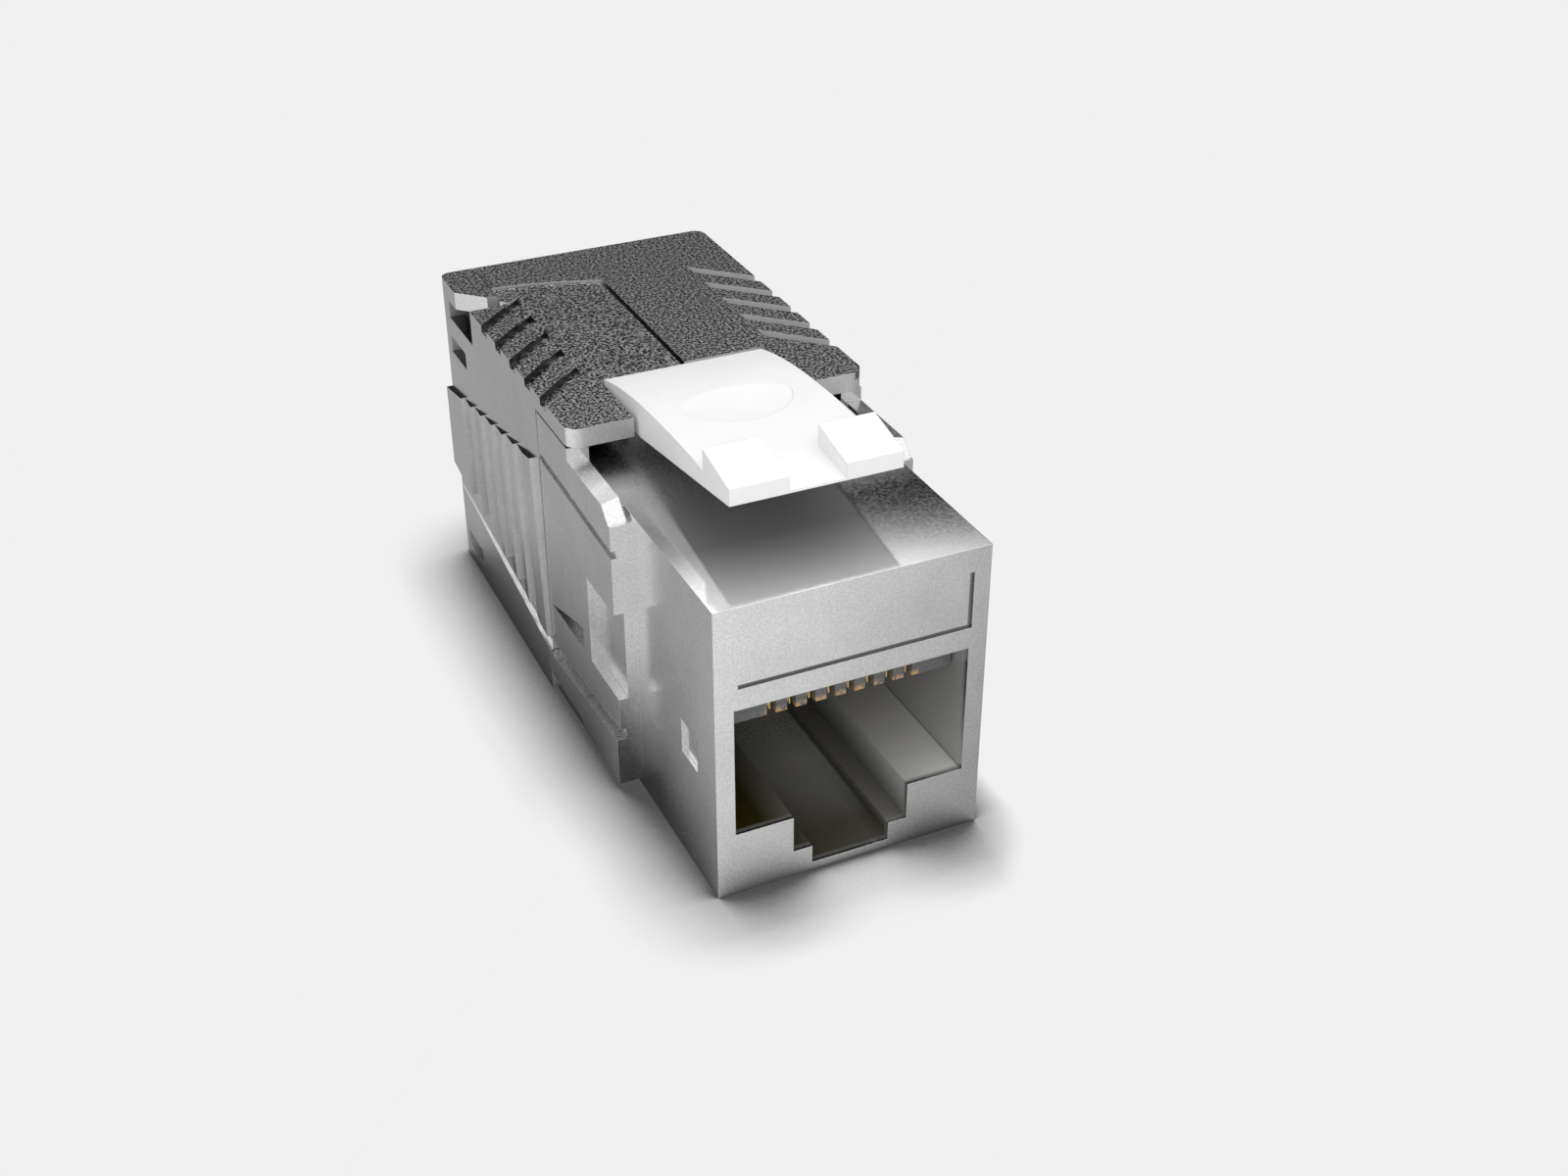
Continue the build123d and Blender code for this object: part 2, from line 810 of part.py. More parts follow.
def idc_contact(x, z):
    """Forked sheet contact that grips one wire."""
    tip = tower_rear - blade_rear_gap
    fork_root = tip - fork_length
    slot = fork_slot_width / 2
    mouth = fork_mouth_width / 2
    outline = [
        (blade_tail_half_width, board_front - tail_stub),
        (blade_tail_half_width, block_front),
        (blade_half_width, block_front),
        (blade_half_width, tip),
        (mouth, tip),
        (slot, tip - fork_mouth_depth),
        (slot, fork_root),
        (-slot, fork_root),
        (-slot, tip - fork_mouth_depth),
        (-mouth, tip),
        (-blade_half_width, tip),
        (-blade_half_width, block_front),
        (-blade_tail_half_width, block_front),
        (-blade_tail_half_width, board_front - tail_stub),
    ]
    return Pos(x, 0, z) * plan_prism(outline, -blade_thickness / 2, blade_thickness / 2)


def circuit_board():
    """Upright board with holes for both sets of contact tails."""
    body = block(-board_half_width, board_half_width, board_front, board_rear, inner_bottom, inner_top)
    wide = contact_width / 2 + board_hole_clearance
    tall = contact_thickness / 2 + board_hole_clearance
    for number in range(contact_count):
        x = contact_x(number)
        z = contact_tail_z(number)
        body -= block(x - wide, x + wide, 0, board_rear + overshoot, z - tall, z + tall)
    wide = blade_tail_half_width + board_hole_clearance
    tall = blade_thickness / 2 + board_hole_clearance
    for x, z in blade_places():
        body -= block(x - wide, x + wide, 0, board_rear + overshoot, z - tall, z + tall)
    return body


def terminal_block():
    """Plastic block with two rows of slotted towers round the wire contacts."""
    half_tower = tower_height / 2
    wide = tower_half_width
    far = tower_rear + overshoot
    body = block(
        -block_half_width, block_half_width, block_front, shell_front, inner_bottom, inner_top
    )
    low = lower_row_z - half_tower
    high = upper_row_z + half_tower
    body += block(-wide, wide, shell_front, web_rear, low, high)
    for row in (lower_row_z, upper_row_z):
        body += block(-wide, wide, web_rear, tower_rear, row - half_tower, row + half_tower)
    wide = blade_half_width + blade_clearance
    tall = blade_thickness / 2 + blade_clearance
    slot = wire_slot_width / 2
    slot_front = tower_rear - wire_slot_length
    slot_reach = half_tower + blade_clearance
    for x, z in blade_places():
        body -= block(x - wide, x + wide, block_front - overshoot, far, z - tall, z + tall)
        body -= block(x - slot, x + slot, slot_front, far, z - slot_reach, z + slot_reach)
    for side in (-1, 1):
        hole = Cylinder(manager_post_radius + manager_post_clearance, 2 * manager_post_length)
        body -= Pos(side * manager_post_x, web_rear, middle_row_z) * Rot(90, 0, 0) * hole
    return body


def wire_manager():
    """Cap behind the towers with a cable hole and a guide groove for each wire."""
    wide = manager_half_width
    body = block(-wide, wide, manager_front, manager_rear, manager_bottom, manager_top)
    hole = Cylinder(manager_hole_radius, 2 * (manager_thickness + overshoot))
    body -= Pos(0, manager_rear, cable_hole_z) * Rot(90, 0, 0) * hole
    groove = guide_groove_width / 2
    front = manager_front - overshoot
    rear = manager_rear + overshoot
    grooves = (
        (manager_bottom - overshoot, manager_bottom + guide_groove_depth),
        (manager_top - guide_groove_depth, manager_top + overshoot),
    )
    for column in range(wires_per_row):
        x = wire_x(column)
        for low, high in grooves:
            body -= block(x - groove, x + groove, front, rear, low, high)
    length = manager_front - web_rear + manager_post_length - manager_gap
    for side in (-1, 1):
        post = Pos(side * manager_post_x, manager_front - length / 2, middle_row_z) * Rot(90, 0, 0)
        body += post * Cylinder(manager_post_radius, length)
    return body


pieces = {
    "front_housing": front_housing(),
    "left_wing": left_wing(),
    "right_wing": right_wing(),
    "hinge_pin_right_top": top_hinge_pin(),
    "hinge_pin_right_bottom": bottom_hinge_pin(),
    "hinge_pin_left_top": mirror(top_hinge_pin(), Plane.YZ),
    "hinge_pin_left_bottom": mirror(bottom_hinge_pin(), Plane.YZ),
    "latch_clip": latch_clip(),
    "contact_carrier": contact_carrier(),
    "circuit_board": circuit_board(),
    "terminal_block": terminal_block(),
    "wire_manager": wire_manager(),
}
for number in range(contact_count):
    pieces[f"contact_{number + 1}"] = spring_contact(number)
for number, (x, z) in enumerate(blade_places()):
    pieces[f"idc_contact_{number + 1}"] = idc_contact(x, z)

# The origin goes under the middle of the whole jack
to_middle = Pos(0, -overall_length / 2, 0)
os.makedirs("parts", exist_ok=True)
for name, piece in pieces.items():
    placed = to_middle * piece
    export_step(placed, f"parts/{name}.step")
    print(f"{name}: {placed.volume:.1f} cubic mm")
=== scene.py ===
# %% [markdown]
# A shielded keystone jack, dressed for a studio picture.
# The shapes come from the CAD model as fixed objects, one for each real piece. This lesson gives each
# piece the finish of the real one, adds the finest detail in mesh code, and sets up floor, light and camera.
# The frame is loaded first, because everything else is placed by it. Blender's lengths are in metres, so
# places in millimetres are multiplied by MM where Blender needs them.

# %% Load the frame
import math

import bpy
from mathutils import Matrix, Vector


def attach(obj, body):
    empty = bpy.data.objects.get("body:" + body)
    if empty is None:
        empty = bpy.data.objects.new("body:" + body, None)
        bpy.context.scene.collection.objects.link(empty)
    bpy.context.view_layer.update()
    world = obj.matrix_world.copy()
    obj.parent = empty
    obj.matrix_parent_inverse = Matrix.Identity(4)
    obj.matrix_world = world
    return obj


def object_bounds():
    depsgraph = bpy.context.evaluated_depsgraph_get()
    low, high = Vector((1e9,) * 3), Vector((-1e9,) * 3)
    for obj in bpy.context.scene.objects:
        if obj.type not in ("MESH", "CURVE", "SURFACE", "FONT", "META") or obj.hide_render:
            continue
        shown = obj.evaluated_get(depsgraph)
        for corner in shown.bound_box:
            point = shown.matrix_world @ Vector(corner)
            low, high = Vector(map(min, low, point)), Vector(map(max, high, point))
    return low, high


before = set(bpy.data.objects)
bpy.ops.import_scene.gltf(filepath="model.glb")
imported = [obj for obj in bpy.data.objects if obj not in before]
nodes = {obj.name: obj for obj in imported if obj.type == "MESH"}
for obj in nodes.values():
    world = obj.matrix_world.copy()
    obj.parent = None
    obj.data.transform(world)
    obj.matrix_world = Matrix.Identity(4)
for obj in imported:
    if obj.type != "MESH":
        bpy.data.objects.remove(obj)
cad_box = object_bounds()
MM = 0.001
FRONT_Y = cad_box[0][1] / MM
print("size in mm:", [round((high - low) / MM, 2) for low, high in zip(*cad_box)])

# %% [markdown]
# The camera stands where the photographer's stood: in front of the port and to its left, looking down
# at about 32 degrees. Its place and lens were worked out from the edges of the front face, so the render
# and the picture can be laid over each other. A matrix would do as well, but a place and a
# direction are easier to read.

# %% Camera at the picture's angle
camera_place = Vector((-33.78, -82.75, 60.79)) * MM
camera_direction = Vector((0.36063, 0.76861, -0.52838))
camera_data = bpy.data.cameras.new("camera")
camera_data.sensor_width = 36.0
camera_data.lens = 44.03
camera_data.clip_start = 1 * MM
camera_data.clip_end = 10.0
camera = bpy.data.objects.new("camera", camera_data)
camera.location = camera_place
camera.rotation_mode = "QUATERNION"
camera.rotation_quaternion = camera_direction.to_track_quat("-Z", "Y")
bpy.context.scene.collection.objects.link(camera)
bpy.context.scene.camera = camera
print("camera", round(camera_place.length / MM), "mm from the origin")

# %% [markdown]
# Sky, floor and finishes are all built from nodes, and three small steps come back in each of them: to
# feed a socket with a number or a link, to move a value from one range into another, and to multiply
# values. Written once as functions, they keep the cells that follow short.


# %% Small steps with nodes
def feed(tree, value, socket):
    """Links a socket to a value, or sets it to a plain one."""
    if isinstance(value, bpy.types.NodeSocket):
        tree.links.new(value, socket)
    else:
        socket.default_value = value


def ramp(tree, value, start, end, low, high, kind="LINEAR"):
    """A value that runs from start to end, moved to run from low to high."""
    step = tree.nodes.new("ShaderNodeMapRange")
    step.interpolation_type = kind
    for name, limit in (("From Min", start), ("From Max", end), ("To Min", low), ("To Max", high)):
        feed(tree, limit, step.inputs[name])
    tree.links.new(value, step.inputs["Value"])
    return step.outputs["Result"]


def combined(tree, operation, first, *others):
    """Values joined one after the other by a math operation."""
    for other in others:
        joint = tree.nodes.new("ShaderNodeMath")
        joint.operation = operation
        feed(tree, first, joint.inputs[0])
        feed(tree, other, joint.inputs[1])
        first = joint.outputs[0]
    return first


print("made three steps: feed, ramp and combined")

# %% [markdown]
# Plated metal has no colour of its own: it shows what stands around it. In the picture every face
# that looks up is dark and turns bright only near the front edge of the nose, while faces that look
# forward are bright. So the studio has a dark back wall, up to about 30 degrees above the table, and pale
# light in front and overhead. Lamps would give small hot spots in the metal, so the sky is that
# studio: its strength depends on the direction alone.

# %% Studio sky
scene = bpy.context.scene
scene.view_settings.view_transform = "Standard"
sky_overhead = 1.35
sky_front = 0.9
sky_dark = 0.03
dark_up_to = 29.0
pale_from = 32.5
front_from = 0.25
front_full = -0.35

world = bpy.data.worlds.new("studio_sky")
scene.world = world
world.use_nodes = True
tree = world.node_tree
sky = tree.nodes["Background"]
sky.inputs["Color"].default_value = (1.0, 1.0, 1.0, 1.0)
direction = tree.nodes.new("ShaderNodeTexCoord")
split = tree.nodes.new("ShaderNodeSeparateXYZ")
tree.links.new(direction.outputs["Generated"], split.inputs[0])
rise = [math.sin(math.radians(angle)) for angle in (dark_up_to, pale_from)]
overhead = ramp(tree, split.outputs["Z"], rise[0], rise[1], sky_dark, sky_overhead, "SMOOTHSTEP")
front = ramp(tree, split.outputs["Y"], front_from, front_full, 0.0, sky_front, "SMOOTHSTEP")
brighter = combined(tree, "MAXIMUM", overhead, front)
tree.links.new(brighter, sky.inputs["Strength"])
print("sky dark up to", dark_up_to, "degrees at the back")

# %% [markdown]
# The floor is plain and pale, and it glows as evenly as a light table. A lit floor would need more light
# on the jack as well to look this pale.

# %% Floor
floor_half = 1.5
floor_mesh = bpy.data.meshes.new("floor")
corners = [(x * floor_half, y * floor_half, 0.0) for x, y in ((-1, -1), (1, -1), (1, 1), (-1, 1))]
floor_mesh.from_pydata(corners, [], [(0, 1, 2, 3)])
floor = bpy.data.objects.new("floor", floor_mesh)
scene.collection.objects.link(floor)
floor_paint = bpy.data.materials.new("floor_paint")
floor_paint.use_nodes = True
floor_mesh.materials.append(floor_paint)
tree = floor_paint.node_tree
tree.nodes.clear()
print("floor", 2 * floor_half, "m wide")

# %% [markdown]
# A glowing floor takes no shadow, so it makes one. Close to the jack the ambient occlusion node darkens
# it, which gives the tight soft shadow of the picture. The shadow reaches less far on the right side, and
# in front of the jack more of it is as dark as at the foot.

# %% Soft shadow round the jack
floor_glow = 0.88
shadow_reach = 5.5 * MM
right_share = 0.3
right_side = (6 * MM, 10 * MM)
front_foot = (-21 * MM, -17 * MM)
dark_openness = (0.76, 0.5)
shadow_tone = 0.09
spot = tree.nodes.new("ShaderNodeTexCoord")
axes = tree.nodes.new("ShaderNodeSeparateXYZ")
tree.links.new(spot.outputs["Object"], axes.inputs[0])


def floor_shade(reach, dark_at, pale_at, deepest):
    """From deepest at the foot of the jack to 1 where little of it is in reach."""
    near = tree.nodes.new("ShaderNodeAmbientOcclusion")
    near.samples = 16
    feed(tree, reach, near.inputs["Distance"])
    return ramp(tree, near.outputs["AO"], dark_at, pale_at, deepest, 1.0)


reach = ramp(tree, axes.outputs["X"], *right_side, shadow_reach, right_share * shadow_reach)
dark_at = ramp(tree, axes.outputs["Y"], *front_foot, *dark_openness)
seen = combined(tree, "MULTIPLY", floor_shade(reach, dark_at, 1.0, shadow_tone), floor_glow)
print("shadow", round(shadow_reach / MM, 1), "mm wide on the left")

# %% [markdown]
# In the picture the metal mirrors a greyer floor than the one the camera sees, brightest in front on the
# left. The light path node tells the camera's rays from all others, so reflections get a floor of their
# own: its tone grows along a slanting direction, and its shade round the jack is wider.

# %% The floor in reflections
mirror_reach = 9.0 * MM
mirror_far = 0.42
mirror_front = 0.98
mirror_ramp = (9 * MM, 26 * MM)
mirror_shade = (0.5, 0.9, 0.06)
forward = tree.nodes.new("ShaderNodeVectorMath")
forward.operation = "DOT_PRODUCT"
forward.inputs[1].default_value = (-0.7, -0.7, 0.0)
tree.links.new(spot.outputs["Object"], forward.inputs[0])
mirror_tone = ramp(tree, forward.outputs["Value"], *mirror_ramp, mirror_far, mirror_front)
mirrored = combined(tree, "MULTIPLY", floor_shade(mirror_reach, *mirror_shade), mirror_tone)
path = tree.nodes.new("ShaderNodeLightPath")
choice = tree.nodes.new("ShaderNodeMix")
tree.links.new(path.outputs["Is Camera Ray"], choice.inputs["Factor"])
tree.links.new(mirrored, choice.inputs["A"])
tree.links.new(seen, choice.inputs["B"])
glow = tree.nodes.new("ShaderNodeEmission")
out = tree.nodes.new("ShaderNodeOutputMaterial")
tree.links.new(choice.outputs["Result"], glow.inputs["Strength"])
tree.links.new(glow.outputs[0], out.inputs["Surface"])
print("mirrored floor from", mirror_far, "to", mirror_front)

# %% [markdown]
# Every finish below is made by the same few steps: noise in the object's own space, measured in
# millimetres, changes the colour and the roughness a little, and a finer noise lifts the
# surface. Image textures would need files, and noise in the object's space stays with a piece when it moves.


# %% A finish and its noise
class Finish:
    """A material under construction: its nodes, and a place in millimetres for its textures."""

    def __init__(self, name):
        self.material = bpy.data.materials.new(name)
        self.material.use_nodes = True
        self.tree = self.material.node_tree
        self.shader = self.tree.nodes["Principled BSDF"]
        self.coordinates = self.tree.nodes.new("ShaderNodeTexCoord")
        self.place = self.stretch((1.0, 1.0, 1.0))

    def stretch(self, scale):
        """Object coordinates in millimetres, stretched along each axis."""
        mapping = self.tree.nodes.new("ShaderNodeMapping")
        mapping.inputs["Scale"].default_value = [part / MM for part in scale]
        self.tree.links.new(self.coordinates.outputs["Object"], mapping.inputs["Vector"])
        return mapping.outputs["Vector"]

    def noise(self, grain, detail=2.0, place=None):
        """Noise whose grains are this many millimetres wide."""
        texture = self.tree.nodes.new("ShaderNodeTexNoise")
        texture.inputs["Scale"].default_value = 1.0 / grain
        texture.inputs["Detail"].default_value = detail
        self.tree.links.new(place or self.place, texture.inputs["Vector"])
        return texture.outputs["Fac"]

    def between(self, value, low, high, start=0.3, end=0.7):
        """A value moved into a new range; the usual one to start from is that of noise."""
        return ramp(self.tree, value, start, end, low, high)

    def set(self, **sockets):
        """Sets or links the shader's inputs."""
        for name, value in sockets.items():
            feed(self.tree, value, self.shader.inputs[name.replace("_", " ")])
        return self.material


print("made the plain finish")

# %% [markdown]
# On a real piece the tone, the edges and the grain belong together. This second class adds them: colours
# mixed by a value, bumps, and normals that run round each edge. A bevel in the mesh would
# change the CAD's form, so the bevel node rounds the normals only.


# %% Colour, edges and bumps
class Coat(Finish):
    """A finish with mixed colours, soft edges and bumps."""

    def shade(self, value, first, second):
        """A colour between two, chosen by a value from 0 to 1."""
        return self.over(value, (*first, 1.0), (*second, 1.0))

    def over(self, mask, below, above):
        """The colour above where the mask is 1, and the one below it where the mask is 0."""
        mix = self.tree.nodes.new("ShaderNodeMix")
        mix.data_type = "RGBA"
        self.tree.links.new(mask, mix.inputs["Factor"])
        feed(self.tree, below, mix.inputs["A"])
        feed(self.tree, above, mix.inputs["B"])
        return mix.outputs["Result"]

    def soft_edges(self, radius):
        """Normals that run round each edge, as on a casting or moulding."""
        edge = self.tree.nodes.new("ShaderNodeBevel")
        edge.samples = 4
        edge.inputs["Radius"].default_value = radius * MM
        return edge.outputs["Normal"]

    def relief(self, value, height, normal):
        """Bumps of this height in millimetres, over the given normal."""
        bump = self.tree.nodes.new("ShaderNodeBump")
        bump.inputs["Distance"].default_value = height * MM
        self.tree.links.new(value, bump.inputs["Height"])
        self.tree.links.new(normal, bump.inputs["Normal"])
        return bump.outputs["Normal"]

    def times(self, *values):
        """Values multiplied."""
        return combined(self.tree, "MULTIPLY", *values)

    def plus(self, *values):
        """Values added."""
        return combined(self.tree, "ADD", *values)


def dress(material, *names):
    """Gives CAD pieces a finish in place of their plain one."""
    for name in names:
        for place in nodes[name].material_slots:
            place.material = material
    print(material.name, "on", len(names), "pieces")


print("made the coat, for", len(nodes), "pieces")

# %% [markdown]
# Some castings change from place to place: speckled on top, smooth on the sides, with painted shade in a
# groove. One material can serve the whole casting if it knows where a point lies and which way its face
# looks. A mask is then a product of soft steps, which is easier to move than a painted map and needs no UVs.


# %% Finishes that change from place to place
class Zoned(Coat):
    """A coat with masks by place, in millimetres, and by the way that a face looks."""

    def facing(self, axis):
        """How far a face looks along X, Y or Z, from -1 to 1."""
        parts = self.tree.nodes.new("ShaderNodeSeparateXYZ")
        self.tree.links.new(self.coordinates.outputs["Normal"], parts.inputs[0])
        return parts.outputs[axis]

    def upward(self):
        """1 on faces that look up, 0 on the others."""
        return self.between(self.facing("Z"), 0.0, 1.0, 0.95, 0.99)

    def along(self, axis, start, end, low=0.0, high=1.0):
        """From low to high between two places along X, Y or Z."""
        parts = self.tree.nodes.new("ShaderNodeSeparateXYZ")
        self.tree.links.new(self.place, parts.inputs[0])
        return self.between(parts.outputs[axis], low, high, start, end)

    def past(self, axis, place, soft):
        """1 beyond a place along an axis, with an edge this soft."""
        return self.along(axis, place, place + soft)

    def before(self, axis, place, soft):
        """1 up to a place along an axis, with an edge this soft."""
        return self.along(axis, place, place + soft, 1.0, 0.0)

    def within(self, half, soft):
        """1 where X lies less than half from the middle plane, with an edge this soft."""
        return self.times(self.past("X", -half - soft, soft), self.before("X", half, soft))

    def mottle(self):
        """The broad clouds that a plating bath leaves, with a fine grain over them."""
        clouds = self.between(self.noise(3.0, 3.0), 0.0, 0.4)
        return self.plus(clouds, self.between(self.noise(0.13, 1.0), 0.0, 0.6))


def grey(tone):
    """A colour without a hue, as a mixing node takes it."""
    return (tone, tone, tone, 1.0)


print("made the zoned coat")

# %% [markdown]
# The front housing is zinc, die cast and then nickel plated. Close up it has a fine satin grain, a
# little broader cloudiness from the plating bath, and faint polishing lines along the top. Stretched
# noise makes the lines. The bumps stay very low, because coarse ones would blur all that the metal mirrors.

# %% Grain of the front housing
satin = Zoned("satin_plating")
grain = satin.noise(0.16, 3.0)
polish = satin.noise(0.1, 2.0, satin.stretch((1.0, 0.06, 1.0)))
tops = satin.upward()
fine = satin.times(grain, satin.between(tops, 1.0, 0.1, 0.0, 1.0))
surface = satin.relief(fine, 0.002, satin.soft_edges(0.03))
surface = satin.relief(satin.times(polish, tops), 0.0003, surface)
plating = satin.over(satin.mottle(), grey(0.60), grey(0.80))
print("polishing lines on the top")

# %% [markdown]
# A fine groove runs along two sides of the blank label field above the port. It is dark in the picture,
# because little light reaches into it, so a mask paints that shade into the plating: painted shade. The mask
# starts just behind the front face, which stays clear.

# %% Painted shade in the groove at the label field
PORT_TOP = 10.63
LABEL_TOP = 15.85
LABEL_HALF = 6.75
painted_groove_shade = satin.times(
    satin.past("Y", FRONT_Y + 0.02, 0.04),
    satin.before("Y", FRONT_Y + 0.4, 0.1),
    satin.past("Z", PORT_TOP + 0.2, 0.05),
    satin.before("Z", LABEL_TOP, 0.1),
    satin.within(LABEL_HALF, 0.05),
)
# painted shade: the plating is darkened in the groove, where little light reaches
plating = satin.over(painted_groove_shade, plating, grey(0.25))
print("label field up to", LABEL_TOP, "mm")

# %% [markdown]
# The top of the nose is bright at its front edge in the picture and darkens towards the latch. That light
# and shade is painted into its tone, which falls along the nose: a painted reflection, bright at the front
# edge and dark under the latch. The metal also gets smoother in front. A lamp over the nose would do
# this as well, but it would light the white latch too.

# %% Painted reflection on the top of the nose
NOSE_TOP_FROM = 15.9
NOSE_HALF = 6.98
bright_up_to = -17.6
darker_from = -13.2
painted_nose_top = satin.times(tops, satin.past("Z", NOSE_TOP_FROM, 0.1), satin.within(NOSE_HALF, 0.02))
# painted reflection: pale at the front edge of the nose, dark under the latch
painted_reflection_tone = satin.over(satin.along("Y", bright_up_to, darker_from), grey(0.97), grey(0.42))
plating = satin.over(painted_nose_top, plating, painted_reflection_tone)
smoother = satin.times(tops, satin.along("Y", -11.5, -7.5, -0.12, 0.08))
print("top darkens over", round(darker_from - bright_up_to, 1), "mm")

# %% [markdown]
# Little of the studio reaches into the port. In the picture it is nearly black on the left and pale on
# the right, its steps get paler upwards, and the channel's floor is dark at the front. A lamp inside the
# port would shine on the contacts as well, so this light and shade is painted into the tone instead,
# across, along and up the port.

# %% Painted light and shade on the walls of the port
PORT_HALF = 6.05
channel_floor = 0.6
inside = satin.times(
    satin.past("Y", FRONT_Y + 0.1, 0.3),
    satin.before("Y", 1.0, 0.2),
    satin.past("Z", 0.3, 0.1),
    satin.before("Z", PORT_TOP + 0.02, 0.02),
    satin.within(PORT_HALF + 0.02, 0.02),
)
across = satin.times(satin.along("X", -4.5, 5.9), satin.along("X", 5.97, 6.0, 1.0, 0.5))
lower = satin.times(satin.before("Z", channel_floor, 0.3), satin.along("Y", -16.3, -10.6, 0.2, 1.0))
height = satin.plus(lower, satin.past("Z", channel_floor, 2.8))
# painted light and shade: dark on the left, pale on the right, paler upwards, dark at the channel's front
painted_port_light = satin.shade(satin.times(across, height), (0.04, 0.033, 0.008), (0.97, 0.97, 0.96))
satin.set(
    Base_Color=satin.over(inside, plating, painted_port_light),
    Metallic=satin.between(inside, 1.0, 0.4, 0.0, 1.0),
    Roughness=satin.plus(satin.between(grain, 0.17, 0.25), smoother),
    Normal=surface,
)
dress(satin.material, "front_housing")

# %% [markdown]
# The two wings are cast in the same metal, but the tops of their plates are left as they came from a
# blasted die, so they sparkle in coarse specks, while the side walls and the grooves are smooth. Coarse
# noise with a hard contrast makes the specks, in the colour and as bumps. Their colour is partly that grain
# and partly painted: the tops are darker than the plating, a painted reflection of the dark back of the
# studio.

# %% Speckled tops of the wings, with a painted dark reflection
SPECKLED_FROM = 17.65
blasted = Zoned("blasted_plating")
grain = blasted.noise(0.14, 3.0)
specks = blasted.noise(0.15, 1.0)
up = blasted.upward()
tops = blasted.times(up, blasted.past("Z", SPECKLED_FROM - 0.05, 0.1))
surface = blasted.relief(grain, 0.001, blasted.soft_edges(0.02))
surface = blasted.relief(blasted.times(specks, tops), 0.014, surface)
# blasted grain in the colour, painted dark: a painted reflection of the dark back of the studio
specks_and_painted_reflection = blasted.over(blasted.between(specks, 0.0, 1.0, 0.42, 0.64), grey(0.01), grey(0.62))
print("specks above", SPECKLED_FROM, "mm")

# %% [markdown]
# Below the plates, narrow ledges look up and are dark in the picture, and so are the slanting walls of the
# chevron grooves on the left. Those on the right are pale. Both are painted into the colour: painted shade
# on the ledges and the left walls, painted light on the right walls. The product of the X and Y parts of the
# normal tells the two kinds of slant apart, without a list of faces.

# %% Painted shade and light on ledges and chevron walls
LEDGES_FROM = 5.0
CHEVRONS_FROM = 4.9
plating = blasted.over(blasted.mottle(), grey(0.61), grey(0.75))
painted_ledge_shade = blasted.times(
    up,
    blasted.past("Z", LEDGES_FROM, 0.1),
    blasted.before("Z", SPECKLED_FROM - 0.15, 0.1),
)
# painted shade on the ledges that look up
plating = blasted.over(painted_ledge_shade, plating, grey(0.12))
slants = blasted.times(blasted.facing("X"), blasted.facing("Y"))
plate = blasted.past("Z", SPECKLED_FROM, 0.1)
painted_wall_shade = blasted.times(blasted.between(slants, 1.0, 0.0, -0.4, -0.2), plate)
painted_wall_light = blasted.times(
    blasted.between(slants, 0.0, 1.0, 0.2, 0.4),
    plate,
    blasted.past("X", CHEVRONS_FROM, 0.1),
)
# painted shade on the left chevron walls, painted light on the right ones
plating = blasted.over(painted_wall_shade, plating, grey(0.14))
plating = blasted.over(painted_wall_light, plating, grey(0.62))
print("chevron walls from", CHEVRONS_FROM, "mm on the right")

# %% [markdown]
# The specks make the tops duller. The faces that look forward are duller too, so that they show the pale
# front light evenly, as in the picture. Both add to the roughness of the smooth walls.

# %% Wings dressed
matt_tops = blasted.between(tops, 0.0, 0.14, 0.0, 1.0)
matt_ends = blasted.between(blasted.facing("Y"), 0.35, 0.0, -0.9, -0.6)
blasted.set(
    Base_Color=blasted.over(tops, plating, specks_and_painted_reflection),
    Metallic=blasted.between(painted_wall_light, 1.0, 0.2, 0.0, 1.0),
    Roughness=blasted.plus(blasted.between(grain, 0.15, 0.22), matt_tops, matt_ends),
    Normal=surface,
)
dress(blasted.material, "left_wing", "right_wing")

# %% [markdown]
# The latch is white acetal: almost white, with a soft sheen and the faint unevenness of a moulding. Two
# tones that lie close together are enough, because the shape is read from the soft edges.

# %% White latch
acetal = Coat("white_acetal")
cloud = acetal.between(acetal.noise(2.5), 0.0, 1.0)
acetal.set(
    Base_Color=acetal.over(cloud, grey(0.90), grey(0.93)),
    Roughness=acetal.between(acetal.noise(0.4), 0.38, 0.46),
    Normal=acetal.relief(acetal.noise(0.2), 0.001, acetal.soft_edges(0.06)),
)
dress(acetal.material, "latch_clip")

# %% [markdown]
# The insert that carries the spring contacts is grey, glass-filled plastic. In the picture its comb has
# small gold-brown highlights along the low front edge. These are painted highlights: highlights that small
# need no mesh of their own, so a mask over that edge gives the plastic their colour where the noise is high.

# %% Insert with its comb, with painted gold highlights
COMB_FRONT = -17.0
COMB_LOW = 8.91
comb_half = 4.1
insert = Zoned("grey_insert")
mottle = insert.noise(0.25, 3.0)
plastic = insert.shade(insert.between(mottle, 0.0, 1.0), (0.10, 0.10, 0.102), (0.16, 0.16, 0.162))
painted_gold_highlights = insert.times(
    insert.before("Z", COMB_LOW + 0.1, 0.25),
    insert.within(comb_half, 0.1),
    insert.before("Y", COMB_FRONT + 0.2, 0.1),
    insert.between(insert.noise(0.3, 2.0), 0.0, 1.0, 0.45, 0.55),
)
insert.set(
    # painted gold highlights along the low front edge of the comb
    Base_Color=insert.over(painted_gold_highlights, plastic, (0.52, 0.32, 0.15, 1.0)),
    Roughness=insert.between(insert.noise(0.6), 0.35, 0.46),
    Normal=insert.relief(mottle, 0.004, insert.soft_edges(0.03)),
)
dress(insert.material, "contact_carrier")

# %% [markdown]
# Behind it, the terminal block is moulded in charcoal and the cap that guides the wires in a light natural
# colour. Short glass fibres give both a slight mottle, so one function makes the two plastics.


